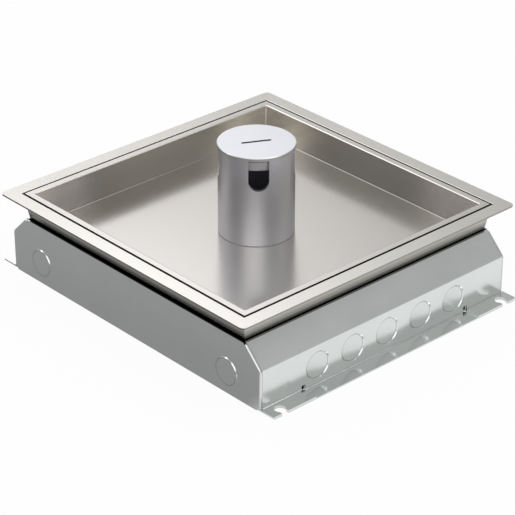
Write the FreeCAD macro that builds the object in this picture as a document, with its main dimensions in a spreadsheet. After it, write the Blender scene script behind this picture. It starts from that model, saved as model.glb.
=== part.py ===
import FreeCAD, Part
import math
import os
import re
import Sketcher

# Floor socket box, millimetres, +Z up, origin on the floor under the middle of the box.
# A sheet steel box stands on the raw floor. A square frame slides up and down in its top on four
# levelling screws. A tray that takes the floor covering hangs in the frame, and a round tube with
# a coin operated lid stands in the middle of the tray and lets the leads out.
# Front is -Y, left is -X.

# Driving sizes
SIZES = {
    # frame
    "frame_outer": 300.0,
    "frame_height": 77.0,
    "flange_width": 12.5,
    "frame_sheet": 1.5,
    "flange_edge": 0.4,
    "flange_corner": 4.0,
    "rebate_depth": 6.0,
    "ledge_width": 3.1,
    "skirt_taper": 3.4,
    "taper_height": 21.0,
    "guide_height": 12.0,
    # tray
    "tray_gap": 2.0,
    "rim_width": 6.2,
    "tray_sheet": 1.2,
    "recess_depth": 28.0,
    "tray_draft": 1.6,
    "tray_bend": 0.8,
    "tray_edge": 1.0,
    "seal_thickness": 1.5,
    "seal_play": 0.1,
    "seal_lip": 1.0,
    "seal_drop": 1.2,
    # sheet steel box
    "box_sheet": 1.25,
    "box_height": 53.2,
    "guide_gap": 1.7,
    "lip_width": 2.0,
    "lip_depth": 8.0,
    "incline": 17.7,
    "foot_reach": 15.0,
    "foot_bend": 1.3,
    "end_bend": 1.8,
    "end_land": 0.4,
    "end_reveal": 0.2,
    "end_notch": 3.6,
    "knee_nick": 2.2,
    "joggle_inset": 45.8,
    "joggle_slit": 1.0,
    "relief_hole": 4.0,
    "relief_height": 5.5,
    "slot_inset": 12.4,
    "slot_width": 6.8,
    "slot_head": 9.6,
    "slot_land": 4.1,
    "tab_depth": 12.0,
    "tab_lift": 0.3,
    "base_upstand": 6.0,
    "upstand_inset": 28.0,
    # knock-outs for conduit
    "knockout": 25.0,
    "knockout_set": 0.9,
    "knockout_bevel": 42.0,
    "knockout_edge": 0.6,
    "knockout_pitch": 37.9,
    "knockout_height": 17.7,
    "end_knockout_inset": 38.3,
    "end_knockout_height": 19.5,
    # fixing holes, earth stud and tie bars on the base
    "fixing_hole": 6.5,
    "fixing_inset_x": 66.2,
    "fixing_inset_y": 28.9,
    "earth_stud": 6.0,
    "earth_height": 20.0,
    "earth_inset": 14.0,
    "earth_lift": 3.0,
    "earth_washer": 1.2,
    "weld_bead": 1.5,
    "tie_bar_length": 84.0,
    "tie_bar_width": 12.0,
    "tie_bar_height": 9.0,
    "tie_bar_inset": 42.0,
    "tie_slot": 5.0,
    "tie_pitch": 11.0,
    # socket carriers and sockets
    "wiring_room": 14.0,
    "socket_depth": 38.0,
    "socket_width": 45.0,
    "socket_headroom": 1.15,
    "socket_bezel": 1.5,
    "socket_play": 0.2,
    "bezel_lap": 0.8,
    "dish_margin": 2.0,
    "dish_depth": 13.0,
    "pin_hole": 4.8,
    "pin_depth": 14.0,
    "pin_spacing": 19.0,
    "carrier_sheet": 1.5,
    "carrier_border": 1.7,
    "carrier_cheek": 8.0,
    "carrier_ear": 16.0,
    "ear_setback": 6.0,
    "carrier_screw": 4.0,
    "screw_play": 0.2,
    "driver_slot": 0.8,
    "driver_depth": 1.2,
    # levelling
    "screw_diameter": 6.0,
    "screw_inset": 18.5,
    "screw_pad": 12.0,
    "pad_thickness": 2.0,
    "screw_end_gap": 1.8,
    "screw_slot": 1.0,
    "screw_slot_depth": 2.0,
    "bracket_sheet": 2.5,
    "bracket_size": 36.0,
    "bracket_nip": 14.4,
    "bracket_drop": 14.0,
    "bracket_setback": 3.0,
    "nut_height": 5.0,
    "nut_flats": 10.0,
    "thread_play": 0.05,
    # tube
    "tube_diameter": 63.8,
    "tube_wall": 3.2,
    "tube_height": 77.3,
    "neck_step": 1.4,
    "neck_play": 0.1,
    "neck_end": 1.0,
    "ring_height": 6.0,
    "ring_width": 8.0,
    "ring_notch": 6.0,
    "notch_depth": 2.5,
    "gasket_thickness": 0.5,
    "gasket_inset": 0.2,
    "window_width": 16.9,
    "window_depth": 26.7,
    "window_turn": 51.2,
    # lid
    "lid_overhang": 0.5,
    "lid_chamfer": 0.4,
    "lid_thickness": 3.0,
    "lid_play": 0.3,
    "sleeve_height": 9.5,
    "sleeve_wall": 3.0,
    "sleeve_web": 2.0,
    "web_width": 9.0,
    "lug_height": 3.0,
    "lug_reach": 1.3,
    "lug_angle": 10.0,
    "lug_play": 0.4,
    "entry_margin": 2.0,
    "lid_turn": 30.0,
    "ring_section": 2.0,
    "ring_play": 0.05,
    "ring_gap": 0.1,
    "groove_land": 0.3,
    "coin_slot_length": 25.4,
    "coin_slot_width": 2.6,
    "coin_slot_depth": 1.5,
    "coin_slot_turn": -27.7,
    "lid_screw": 2.5,
    # how far a cutting shape starts and ends outside the sheet it cuts
    "overcut": 1.0,
}

KNOCKOUT_COUNT = 5
SOCKET_COUNT = 3
HEAD_SHARE = 0.6

doc = FreeCAD.newDocument("floor_socket_box")
sheet = doc.addObject("Spreadsheet::Sheet", "Sizes")
for row, (alias, value) in enumerate(SIZES.items(), 1):
    sheet.set(f"A{row}", alias)
    sheet.set(f"B{row}", str(value))
    sheet.setAlias(f"B{row}", alias)
doc.recompute()

# Derived places, as expressions of the driving sizes
TOP = "frame_height"
OPENING = "(frame_outer / 2 - flange_width)"
LEDGE = "(frame_height - rebate_depth)"
SKIRT_TOP = f"({OPENING} - ledge_width + frame_sheet)"
GUIDE = f"({SKIRT_TOP} - skirt_taper)"
GUIDE_TOP = f"({LEDGE} - taper_height)"
SKIRT_END = f"({GUIDE_TOP} - guide_height)"
TRAY = f"({OPENING} - tray_gap)"
TRAY_INSIDE = f"({TRAY} - rim_width)"
TRAY_FLOOR = "(frame_height - recess_depth)"
TRAY_UNDER = f"({TRAY_FLOOR} - tray_sheet)"
CREST = f"({GUIDE} + guide_gap + lip_width)"
END = CREST
WALL = f"({CREST} + incline)"
SHOULDER = "(box_height - incline)"
FOOT = f"({WALL} + foot_reach)"
JOGGLE = f"({END} - joggle_inset)"
TUBE_TOP = f"({TRAY_FLOOR} + tube_height)"
BORE = "(tube_diameter / 2 - tube_wall)"
NECK = "(tube_diameter / 2 - neck_step)"
SLEEVE = f"({BORE} - lid_play)"
GROOVE = f"({TUBE_TOP} - groove_land - ring_section - ring_play * 2)"
SCREW_AT = f"({GUIDE} - screw_inset)"
CARRIER_FACE = f"({END} - wiring_room - socket_depth)"
CARRIER_TOP = f"({TRAY_UNDER} - socket_headroom)"
SOCKET_HEIGHT = f"({CARRIER_TOP} - box_sheet - carrier_border * 2)"
SOCKETS_HALF = f"(socket_width * {SOCKET_COUNT} / 2)"
CARRIER_HALF = f"({SOCKETS_HALF} + carrier_cheek)"
CARRIER_HOLE_X = f"({CARRIER_FACE} + socket_depth / 2)"
CARRIER_HOLE_Y = f"({CARRIER_HALF} + carrier_ear / 2)"
DISC = "(knockout / 2 - knockout_edge)"
HALF_BEND = "tan(22.5)"
ROOT_TWO = "sqrt(2)"
NEAR = 0.01

parts = []


def sized(text):
    """An expression with every size name pointed at the sheet."""
    return re.sub(r"[a-z][a-z_]+", lambda m: "Sizes." + m[0] if m[0] in SIZES else m[0], str(text))


def number(text):
    """The present value of an expression."""
    return float(sheet.evalExpression(sized(text)))


def bind(thing, prop, text):
    thing.setExpression(prop, sized(text))


def keep(thing, label):
    """Names a finished sub-part and lists it for writing."""
    thing.Label = label
    parts.append(thing)
    return thing


# Sketch helpers

def new_body(name):
    body = doc.addObject("PartDesign::Body", name)
    body.Label = name
    return body


def new_sketch(body, role, name, lift="0"):
    """A sketch on one of the body's own origin planes, lifted along the plane's normal."""
    sketch = body.newObject("Sketcher::SketchObject", name)
    plane = [p for p in body.Origin.OriginFeatures if p.Role == role][0]
    sketch.AttachmentSupport = [(plane, "")]
    sketch.MapMode = "FlatFace"
    bind(sketch, ".AttachmentOffset.Base.z", lift)
    return sketch


def swing(sketch, angle):
    """Turns a sketch on an upright plane about +Z."""
    upright = FreeCAD.Vector(0, 1, 0)
    sketch.AttachmentOffset = FreeCAD.Placement(FreeCAD.Vector(), FreeCAD.Rotation(upright, number(angle)))
    bind(sketch, ".AttachmentOffset.Rotation.Angle", angle)


def pin_point(sketch, geometry, vertex, across, up):
    """Holds one point of the sketch at a bound distance from the sketch origin."""
    for kind, axis, text in (("DistanceX", -2, across), ("DistanceY", -1, up)):
        if str(text) == "0":
            sketch.addConstraint(Sketcher.Constraint("PointOnObject", geometry, vertex, axis))
            continue
        rule = Sketcher.Constraint(kind, -1, 1, geometry, vertex, number(text))
        index = sketch.addConstraint(rule)
        bind(sketch, f"Constraints[{index}]", text)


def polygon(sketch, corners):
    """A closed outline whose corners are pairs of expressions."""
    first = sketch.GeometryCount
    places = [FreeCAD.Vector(number(a), number(b), 0) for a, b in corners]
    count = len(places)
    for i in range(count):
        sketch.addGeometry(Part.LineSegment(places[i], places[(i + 1) % count]), False)
    for i in range(count):
        joined = Sketcher.Constraint("Coincident", first + i, 2, first + (i + 1) % count, 1)
        sketch.addConstraint(joined)
    for i, (across, up) in enumerate(corners):
        pin_point(sketch, first + i, 1, across, up)


def rectangle(sketch, left, right, low, high):
    polygon(sketch, [(left, low), (right, low), (right, high), (left, high)])


def square(sketch, half):
    rectangle(sketch, f"-{half}", half, f"-{half}", half)


def circle(sketch, across, up, radius):
    middle = FreeCAD.Vector(number(across), number(up), 0)
    index = sketch.addGeometry(Part.Circle(middle, FreeCAD.Vector(0, 0, 1), number(radius)), False)
    pin_point(sketch, index, 3, across, up)
    rule = sketch.addConstraint(Sketcher.Constraint("Radius", index, number(radius)))
    bind(sketch, f"Constraints[{rule}]", radius)


def cove(sketch, side, across, up, radius):
    """The hollow of a bend: a right angle corner closed by an arc that touches both sides."""
    value = number(radius)
    corner = FreeCAD.Vector(side * number(across), number(up), 0)
    foot = corner + FreeCAD.Vector(side * value, 0, 0)
    head = corner + FreeCAD.Vector(0, value, 0)
    middle = corner + FreeCAD.Vector(side * value, value, 0)
    first = sketch.GeometryCount
    low, high = (math.pi, 1.5 * math.pi) if side > 0 else (1.5 * math.pi, 2 * math.pi)
    sketch.addGeometry(Part.LineSegment(head, corner), False)
    sketch.addGeometry(Part.LineSegment(corner, foot), False)
    arc = Part.ArcOfCircle(Part.Circle(middle, FreeCAD.Vector(0, 0, 1), value), low, high)
    sketch.addGeometry(arc, False)
    start, end = (2, 1) if side > 0 else (1, 2)
    sketch.addConstraint(Sketcher.Constraint("Coincident", first, 2, first + 1, 1))
    sketch.addConstraint(Sketcher.Constraint("Coincident", first + 1, 2, first + 2, start))
    sketch.addConstraint(Sketcher.Constraint("Coincident", first, 1, first + 2, end))
    pin_point(sketch, first + 1, 1, f"{side} * {across}", up)
    pin_point(sketch, first + 1, 2, f"{side} * ({across} + {radius})", up)
    pin_point(sketch, first, 1, f"{side} * {across}", f"{up} + {radius}")
    rule = sketch.addConstraint(Sketcher.Constraint("Radius", first + 2, value))
    bind(sketch, f"Constraints[{rule}]", radius)


def pad(body, sketch, length, down=False, taper=None):
    feature = body.newObject("PartDesign::Pad", sketch.Name + "_pad")
    feature.Profile = sketch
    feature.Reversed = down
    bind(feature, "Length", length)
    if taper:
        bind(feature, "TaperAngle", taper)
    sketch.Visibility = False
    return feature


def pocket(body, sketch, length=None, up=False, taper=None):
    """Cuts away from the sketch against its normal, or both ways right through."""
    feature = body.newObject("PartDesign::Pocket", sketch.Name + "_cut")
    feature.Profile = sketch
    feature.Reversed = up
    if length is None:
        feature.SideType = "Symmetric"
        feature.Type = "ThroughAll"
    else:
        bind(feature, "Length", length)
    if taper:
        bind(feature, "TaperAngle", taper)
    return feature


def edges_at(feature, along, **places):
    """Names of the straight edges along one axis that lie at the given coordinates."""
    doc.recompute()
    found = []
    for i, edge in enumerate(feature.Shape.Edges, 1):
        box = edge.BoundBox
        spans = {"x": (box.XMin, box.XMax), "y": (box.YMin, box.YMax), "z": (box.ZMin, box.ZMax)}
        if spans[along][1] - spans[along][0] < NEAR:
            continue
        flat = all(spans[a][1] - spans[a][0] < NEAR for a in spans if a != along)
        near = all(any(abs(spans[a][0] - v) < NEAR for v in wanted) for a, wanted in places.items())
        if flat and near:
            found.append(f"Edge{i}")
    return found


def fillet(body, feature, names, radius):
    if not names:
        raise RuntimeError(f"no edges found to round on {body.Label}")
    rounded = body.newObject("PartDesign::Fillet", feature.Name + "_round")
    rounded.Base = (feature, names)
    bind(rounded, "Radius", radius)
    doc.recompute()
    return rounded


# Helpers for round pieces and pieces made from primitives

def cylinder(name, radius, height, base, angle=None, turn="0"):
    """An upright cylinder, or a sector of one centred on a turn about +Z."""
    solid = doc.addObject("Part::Cylinder", name)
    bind(solid, "Radius", radius)
    bind(solid, "Height", height)
    for axis, text in zip("xyz", base):
        bind(solid, f"Placement.Base.{axis}", text)
    if angle:
        bind(solid, "Angle", angle)
        bind(solid, "Placement.Rotation.Angle", f"{turn} - {angle} / 2")
    return solid


def block(name, size, base, turn=None):
    solid = doc.addObject("Part::Box", name)
    for prop, text in zip(("Length", "Width", "Height"), size):
        bind(solid, prop, text)
    for axis, text in zip("xyz", base):
        bind(solid, f"Placement.Base.{axis}", text)
    if turn:
        bind(solid, "Placement.Rotation.Angle", turn)
    return solid


def hexagon(name, height, base):
    """The outside of a nut."""
    solid = doc.addObject("Part::Prism", name)
    solid.Polygon = 6
    bind(solid, "Circumradius", "nut_flats / 2 / cos(30)")
    bind(solid, "Height", height)
    for axis, text in zip("xyz", base):
        bind(solid, f"Placement.Base.{axis}", text)
    return solid


def fuse(name, shapes):
    solid = doc.addObject("Part::MultiFuse", name)
    solid.Shapes = shapes
    return solid


def cut(name, base, tool):
    solid = doc.addObject("Part::Cut", name)
    solid.Base = base
    solid.Tool = tool
    return solid


def group(name, shapes):
    bundle = doc.addObject("Part::Compound", name)
    bundle.Links = shapes
    return bundle


def mirrored(name, source, normal):
    copy = doc.addObject("Part::Mirroring", name)
    copy.Source = source
    copy.Normal = normal
    return copy


def four_ways(name, piece):
    """A group of four: the piece and its images across both upright planes."""
    beside = mirrored(name + "_beside", piece, (1, 0, 0))
    behind = mirrored(name + "_behind", piece, (0, 1, 0))
    across = mirrored(name + "_across", beside, (0, 1, 0))
    return group(name, [piece, beside, behind, across])


def revolved(name, outline):
    """A body turned about its own Z axis from a half outline of radius and height pairs."""
    body = new_body(name)
    sketch = new_sketch(body, "XZ_Plane", name + "_section")
    polygon(sketch, outline)
    feature = body.newObject("PartDesign::Revolution", name + "_turned")
    feature.Profile = sketch
    feature.ReferenceAxis = (sketch, ["V_Axis"])
    feature.Angle = 360
    return body


# Sheet steel box

def mounting_slots(sketch):
    """Four slots open at the foot's edge, each with a round head at its inner end."""
    for sx in (-1, 1):
        for sy in (-1, 1):
            middle = f"{sx} * ({END} - slot_inset)"
            inner = f"{sy} * ({WALL} + slot_land + slot_head / 2)"
            outer = f"{sy} * ({FOOT} + overcut)"
            low, high = (inner, outer) if sy > 0 else (outer, inner)
            rectangle(sketch, f"{middle} - slot_width / 2", f"{middle} + slot_width / 2", low, high)


def slot_heads(sketch):
    for sx in (-1, 1):
        for sy in (-1, 1):
            place = f"{sy} * ({WALL} + slot_land + slot_head / 2)"
            circle(sketch, f"{sx} * ({END} - slot_inset)", place, "slot_head / 2")


def base_plate():
    """Flat floor of the box with upturned ends and an ear under each corner of the foot."""
    body = new_body("base_plate")
    inside = f"({END} - box_sheet)"
    seam = f"({WALL} - box_sheet)"
    floor = new_sketch(body, "XY_Plane", "base_floor")
    rectangle(floor, f"-{inside}", inside, f"-{seam}", seam)
    pad(body, floor, "box_sheet")
    ears = new_sketch(body, "XY_Plane", "base_ears")
    rectangle(ears, f"{JOGGLE} + joggle_slit", inside, f"-{FOOT}", FOOT)
    rectangle(ears, f"-{inside}", f"-{JOGGLE} - joggle_slit", f"-{FOOT}", FOOT)
    pad(body, ears, "box_sheet")
    ends = new_sketch(body, "XY_Plane", "base_upstands")
    long_side = f"({WALL} - upstand_inset)"
    rectangle(ends, f"{inside} - box_sheet", inside, f"-{long_side}", long_side)
    rectangle(ends, f"-{inside}", f"-{inside} + box_sheet", f"-{long_side}", long_side)
    pad(body, ends, "base_upstand")
    slots = new_sketch(body, "XY_Plane", "base_slots", "-overcut")
    mounting_slots(slots)
    pocket(body, slots, "box_sheet + overcut * 2", up=True)
    heads = new_sketch(body, "XY_Plane", "base_slot_heads", "-overcut")
    slot_heads(heads)
    pocket(body, heads, "box_sheet + overcut * 2", up=True)
    holes = new_sketch(body, "XY_Plane", "base_fixings", "-overcut")
    for sx in (-1, 1):
        for sy in (-1, 1):
            across = f"{sx} * ({END} - fixing_inset_x)"
            circle(holes, across, f"{sy} * ({WALL} - fixing_inset_y)", "fixing_hole / 2")
            circle(holes, f"{sx} * {CARRIER_HOLE_X}", f"{sy} * {CARRIER_HOLE_Y}", "carrier_screw / 2")
    pocket(body, holes, "box_sheet + overcut * 2", up=True)
    return keep(body, "base_plate")


def side_wall(name, side):
    """Folded long side: a lip turned down, an incline, an upright with knock-outs and a foot.

    The middle of the foot stands on the floor. Its two ends are set up by one sheet, because
    they stand on the ears of the base plate, and a relief hole ends each slit between them.
    A knock-out is a disc sheared halfway through the sheet: it is set in, with a rolled edge,
    and stands out behind by as much.
    """
    body = new_body(name)

    def out(text):
        return f"{side} * ({text})"

    reveal = f"({END} - end_bend - end_land - end_reveal)"
    lip = f"({CREST} - lip_width)"
    rise = f"(box_height - box_sheet * {ROOT_TWO} + lip_width - box_sheet)"
    profile = new_sketch(body, "YZ_Plane", name + "_profile", f"-{reveal}")
    polygon(profile, [
        (out(WALL), "0"),
        (out(WALL), SHOULDER),
        (out(CREST), "box_height"),
        (out(lip), "box_height"),
        (out(lip), "box_height - lip_depth"),
        (out(f"{lip} + box_sheet"), "box_height - lip_depth"),
        (out(f"{lip} + box_sheet"), rise),
        (out(f"{WALL} - box_sheet"), f"{SHOULDER} - box_sheet * {HALF_BEND}"),
        (out(f"{WALL} - box_sheet"), "0"),
    ])
    folded = pad(body, profile, f"{reveal} * 2")
    shoulders = edges_at(folded, "x", y=[side * number(WALL)], z=[number(SHOULDER)])
    fillet(body, folded, shoulders, "foot_bend")

    low, high = (WALL, FOOT) if side > 0 else (out(FOOT), out(WALL))
    root_low, root_high = (f"{WALL} - box_sheet", WALL)
    if side < 0:
        root_low, root_high = out(WALL), out(f"{WALL} - box_sheet")
    middle = new_sketch(body, "XY_Plane", name + "_foot")
    rectangle(middle, f"-{JOGGLE}", JOGGLE, low, high)
    pad(body, middle, "box_sheet")
    under = new_sketch(body, "XY_Plane", name + "_undercut")
    rectangle(under, JOGGLE, f"{END} + overcut", root_low, root_high)
    rectangle(under, f"-{END} - overcut", f"-{JOGGLE}", root_low, root_high)
    pocket(body, under, "box_sheet", up=True)
    raised = new_sketch(body, "XY_Plane", name + "_foot_ends", "box_sheet")
    rectangle(raised, f"{JOGGLE} + joggle_slit", END, low, high)
    rectangle(raised, f"-{END}", f"-{JOGGLE} - joggle_slit", low, high)
    pad(body, raised, "box_sheet")
    coves = (
        ("middle", f"-{JOGGLE}", f"{JOGGLE} * 2", "box_sheet"),
        ("left", f"-{reveal}", f"{reveal} - {JOGGLE} - joggle_slit", "box_sheet * 2"),
        ("right", f"{JOGGLE} + joggle_slit", f"{reveal} - {JOGGLE} - joggle_slit", "box_sheet * 2"),
    )
    for place, start, length, level in coves:
        bend = new_sketch(body, "YZ_Plane", f"{name}_bend_{place}", start)
        cove(bend, side, WALL, level, "foot_bend")
        pad(body, bend, length)

    slots = new_sketch(body, "XY_Plane", name + "_slots", "-overcut")
    mounting_slots(slots)
    pocket(body, slots, "(box_sheet + overcut) * 2", up=True)
    heads = new_sketch(body, "XY_Plane", name + "_slot_heads", "-overcut")
    slot_heads(heads)
    pocket(body, heads, "(box_sheet + overcut) * 2", up=True)
    relief = new_sketch(body, "XY_Plane", name + "_reliefs", "-overcut")
    for sx in (-1, 1):
        circle(relief, f"{sx} * ({JOGGLE} + joggle_slit / 2)", out(WALL), "relief_hole / 2")
    pocket(body, relief, "relief_height + overcut", up=True)

    first = f"(-knockout_pitch * {(KNOCKOUT_COUNT - 1) / 2})"
    wall_at = out(WALL) if side < 0 else WALL
    recess = new_sketch(body, "XZ_Plane", name + "_recess", f"-({wall_at})")
    circle(recess, first, "knockout_height", "knockout / 2")
    set_in = pocket(body, recess, "knockout_set", up=side > 0, taper="-knockout_bevel")
    behind = new_sketch(body, "XZ_Plane", name + "_boss", f"-({out(f'{WALL} - box_sheet')})")
    circle(behind, first, "knockout_height", DISC)
    boss = pad(body, behind, "knockout_set", down=side < 0)
    row_of = body.newObject("PartDesign::LinearPattern", name + "_knockout_row")
    row_of.Originals = [set_in, boss]
    row_of.Direction = (recess, ["H_Axis"])
    bind(row_of, "Length", f"knockout_pitch * {KNOCKOUT_COUNT - 1}")
    row_of.Occurrences = KNOCKOUT_COUNT
    body.Tip = row_of
    return keep(body, name)


def end_plate(name, side):
    """Short side: a flat plate whose bent edges lie flush with the long sides.

    Behind each bend the sheet steps in by its own thickness, as a tab welded behind the long
    side. A nick at the knee parts the upright bend from the sloping one. The knock-outs are
    sheared halfway outwards.
    """
    body = new_body(name)
    flank = f"({WALL} - box_sheet)"
    knee = f"({SHOULDER} - box_sheet * {HALF_BEND})"
    slope = f"box_sheet * {ROOT_TWO}"
    start = "(box_sheet + tab_lift)"
    brow = "(box_height - box_sheet)"
    brow_at = f"({CREST} + box_sheet)"
    hem = f"({flank} - box_sheet - end_bend)"
    face = f"{side} * ({END} - box_sheet)" if side > 0 else f"-{END}"
    plate = new_sketch(body, "YZ_Plane", name + "_outline", face)
    half = [
        (hem, "0"), (hem, start), (WALL, start), (WALL, SHOULDER), (brow_at, brow),
        (f"({brow_at} - end_notch)", brow), (f"({brow_at} - end_notch)", "box_height"),
    ]
    polygon(plate, half + [(f"-{across}", up) for across, up in reversed(half)])
    pad(body, plate, "box_sheet")

    def flange(role, depth, outer, corner, top, tip):
        """Both edges folded back by a depth, from the outer line of the upright and the slope."""
        begin = f"{END} - {depth}" if side > 0 else f"-{END}"
        sketch = new_sketch(body, "YZ_Plane", f"{name}_{role}", begin)
        for sy in (-1, 1):
            polygon(sketch, [
                (f"{sy} * {outer}", start),
                (f"{sy} * {outer}", corner),
                (f"{sy} * {top}", brow),
                (f"{sy} * {tip[0]}", tip[1]),
                (f"{sy} * ({outer} - box_sheet)", f"{corner} - box_sheet * {HALF_BEND}"),
                (f"{sy} * ({outer} - box_sheet)", start),
            ])
        return pad(body, sketch, depth)

    inner = f"({brow_at} - {slope})"
    flange("tabs", "tab_depth", flank, knee, inner, (inner, f"{brow} - {slope}"))
    bent = flange("bends", "(end_bend + end_land)", WALL, SHOULDER, brow_at, (inner, brow))
    outside = side * number(END)
    doc.recompute()
    bends = []
    for i, edge in enumerate(bent.Shape.Edges, 1):
        box = edge.BoundBox
        on_face = abs(box.XMin - outside) < NEAR and abs(box.XMax - outside) < NEAR
        outer = min(abs(box.YMin), abs(box.YMax)) > number(brow_at) - NEAR
        if on_face and outer and box.ZMax - box.ZMin > number("end_notch"):
            bends.append(f"Edge{i}")
    fillet(body, bent, bends, "end_bend")
    tab_start = f"{END} - tab_depth" if side > 0 else f"-{END}"
    nicks = new_sketch(body, "YZ_Plane", name + "_nicks", tab_start)
    for sy in (-1, 1):
        circle(nicks, f"{sy} * {WALL}", SHOULDER, "knee_nick / 2")
    pocket(body, nicks, "tab_depth", up=True)
    proud = new_sketch(body, "YZ_Plane", name + "_knockouts", f"{side} * {END}")
    hollow = new_sketch(body, "YZ_Plane", name + "_hollows", f"{side} * ({END} - box_sheet)")
    for sy in (-1, 1):
        middle = f"({sy} * ({WALL} - end_knockout_inset))"
        circle(proud, middle, "end_knockout_height", "knockout / 2")
        circle(hollow, middle, "end_knockout_height", DISC)
    pad(body, proud, "knockout_set", down=side < 0, taper="-knockout_bevel")
    pocket(body, hollow, "knockout_set", up=side > 0)
    return keep(body, name)


def earth_terminal():
    """Threaded stud welded to the base, with a washer and two nuts."""
    across = f"({END} - fixing_inset_x + earth_inset)"
    behind = f"(-{WALL} + fixing_inset_y)"
    shank = cylinder("earth_shank", "earth_stud / 2", "earth_height", (across, behind, "box_sheet"))
    weld = cylinder("earth_weld", "earth_stud / 2 + weld_bead", "weld_bead", (across, behind, "box_sheet"))
    keep(fuse("earth_stud_body", [shank, weld]), "earth_stud")
    pieces = []
    level = "(box_sheet + earth_lift)"
    for i, tall in enumerate(("earth_washer", "nut_height", "nut_height")):
        if i == 0:
            outside = cylinder("earth_disc", "earth_stud", tall, (across, behind, level))
        else:
            outside = hexagon(f"earth_hex_{i}", tall, (across, behind, level))
        hole = cylinder(f"earth_hole_{i}", "earth_stud / 2", f"{tall} + overcut * 2",
                        (across, behind, f"{level} - overcut"))
        pieces.append(cut(f"earth_piece_{i}", outside, hole))
        level = f"({level} + {tall})"
    keep(group("earth_nuts_group", pieces), "earth_nuts")


def tie_bar(name, side):
    """Low bridge on the base with a row of slots for cable ties."""
    body = new_body(name)
    near = f"({WALL} - tie_bar_inset)"
    low, high = (near, f"{near} + tie_bar_width")
    if side < 0:
        low, high = f"-{near} - tie_bar_width", f"-{near}"
    section = new_sketch(body, "XZ_Plane", name + "_section", f"-({low})")
    half = "(tie_bar_length / 2)"
    foot = "(tie_bar_length / 2 - tie_bar_width)"
    polygon(section, [
        (f"-{half}", "box_sheet"), (f"-{foot}", "box_sheet"),
        (f"-{foot}", "tie_bar_height"), (foot, "tie_bar_height"),
        (foot, "box_sheet"), (half, "box_sheet"), (half, "box_sheet * 2"),
        (f"{foot} + box_sheet", "box_sheet * 2"),
        (f"{foot} + box_sheet", "tie_bar_height + box_sheet"),
        (f"-{foot} - box_sheet", "tie_bar_height + box_sheet"),
        (f"-{foot} - box_sheet", "box_sheet * 2"), (f"-{half}", "box_sheet * 2"),
    ])
    pad(body, section, "tie_bar_width", down=True)
    slots = new_sketch(body, "XY_Plane", name + "_slots", "tie_bar_height")
    middle = f"({low} + tie_bar_width / 2)"
    for i in (-2, -1, 0, 1, 2):
        place = f"{i} * tie_pitch"
        rectangle(slots, f"{place} - tie_slot / 2", f"{place} + tie_slot / 2",
                  f"{middle} - tie_slot / 2", f"{middle} + tie_slot / 2")
    pocket(body, slots, "box_sheet", up=True)
    return keep(body, name)


# Socket carriers

def socket_carrier(name, side):
    """Bracket screwed to the base: an upright with one long window, cheeks and two ears."""
    body = new_body(name)
    face = CARRIER_FACE
    back = f"({END} - wiring_room)"
    half = CARRIER_HALF

    def span(a, b):
        return (a, b) if side > 0 else (f"-{b}", f"-{a}")

    upright = new_sketch(body, "XY_Plane", name + "_upright", "box_sheet")
    left, right = span(face, f"({face} + carrier_sheet)")
    rectangle(upright, left, right, f"-{half}", half)
    pad(body, upright, f"{CARRIER_TOP} - box_sheet")
    foot = new_sketch(body, "XY_Plane", name + "_foot", "box_sheet")
    left, right = span(face, back)
    long_half = f"({half} + carrier_ear)"
    inner_left, inner_right = span(f"({face} + ear_setback)", back)
    rectangle(foot, left, right, f"-{half}", half)
    pad(body, foot, "carrier_sheet")
    ears = new_sketch(body, "XY_Plane", name + "_ears", "box_sheet")
    rectangle(ears, inner_left, inner_right, f"-{long_half}", long_half)
    pad(body, ears, "carrier_sheet")
    cheeks = new_sketch(body, "XY_Plane", name + "_cheeks", "box_sheet")
    left, right = span(face, f"({face} + socket_depth / 2)")
    rectangle(cheeks, left, right, f"{half} - carrier_sheet", half)
    rectangle(cheeks, left, right, f"-{half}", f"-{half} + carrier_sheet")
    pad(body, cheeks, f"{CARRIER_TOP} - box_sheet - carrier_border")
    window = new_sketch(body, "YZ_Plane", name + "_window")
    rectangle(window, f"-{SOCKETS_HALF}", SOCKETS_HALF, "box_sheet + carrier_border",
              f"{CARRIER_TOP} - carrier_border")
    pocket(body, window)
    holes = new_sketch(body, "XY_Plane", name + "_holes", "-overcut")
    hole = "carrier_screw / 2 + screw_play"
    for sy in (-1, 1):
        circle(holes, f"{side} * {CARRIER_HOLE_X}", f"{sy} * {CARRIER_HOLE_Y}", hole)
    pocket(body, holes, "box_sheet + carrier_sheet + overcut * 2", up=True)
    return keep(body, name)


def carrier_screws():
    """Four pan head screws that hold the carriers to the base."""
    across = CARRIER_HOLE_X
    behind = CARRIER_HOLE_Y
    seat = "(box_sheet + carrier_sheet)"
    shank = cylinder("carrier_screw_shank", "carrier_screw / 2", seat, (across, behind, "0"))
    tall = f"carrier_screw * {HEAD_SHARE}"
    head = cylinder("carrier_screw_head", "carrier_screw", tall, (across, behind, seat))
    size = ("(carrier_screw + overcut) * 2", "driver_slot", "driver_depth + overcut")
    bit = block("carrier_screw_bit", size,
                (f"{across} - carrier_screw - overcut", f"{behind} - driver_slot / 2",
                 f"{seat} + {tall} - driver_depth"))
    screw = cut("carrier_screw_one", fuse("carrier_screw_blank", [shank, head]), bit)
    keep(four_ways("carrier_screw_set", screw), "carrier_screws")


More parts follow.
